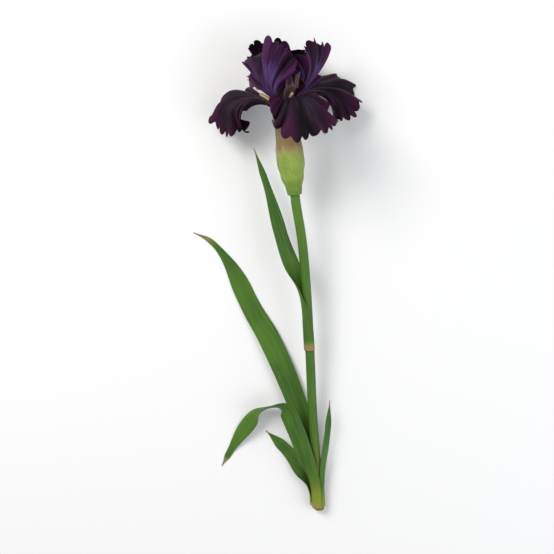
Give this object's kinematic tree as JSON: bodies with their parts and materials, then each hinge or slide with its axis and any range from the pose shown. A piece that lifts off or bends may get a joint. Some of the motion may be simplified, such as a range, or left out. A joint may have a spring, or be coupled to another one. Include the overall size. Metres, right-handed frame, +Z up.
{
  "type": "louisiana iris",
  "caption": "Dark purple ruffled iris on its cut stalk, with a stem leaf and the sword leaves of its fan, lying on a flat surface.",
  "frame": {"origin": "middle of the footprint, on the surface that the flower lies on", "axes": "+Y up the stalk to the bloom, +X to the right of it, +Z up from the surface"},
  "size_m": [0.1306, 0.3696, 0.0882],
  "materials": {
    "stalk_green": "smooth fresh green stalk, waxy satin",
    "leaf_green": "fresh leaf with fine parallel veins, satin",
    "ovary_green": "smooth pale green, satin",
    "spathe_papery": "yellow-green bract, papery and brown-edged at the tip",
    "fall_velvet": "velvety near-black purple petal",
    "standard_purple": "silky dark purple petal",
    "style_tan": "soft pinkish-tan and purple petal-like arm",
    "anther_cream": "matte cream filament and anther"
  },
  "bodies": {
    "root": {"flower_stalk": "stalk_green", "leaf_long_arching": "leaf_green", "leaf_folded_over": "leaf_green", "leaf_short": "leaf_green", "leaf_inner": "leaf_green", "stem_leaf": "leaf_green", "ovary_and_tube": "ovary_green", "spathe_outer": "spathe_papery", "spathe_inner": "spathe_papery", "fall_front": "fall_velvet", "fall_right": "fall_velvet", "fall_left": "fall_velvet", "standard_left": "standard_purple", "standard_right": "standard_purple", "standard_back": "standard_purple", "style_arm_front": "style_tan", "style_arm_right": "style_tan", "style_arm_left": "style_tan", "stamen_front": "anther_cream", "stamen_right": "anther_cream", "stamen_left": "anther_cream"}
  },
  "joints": []
}
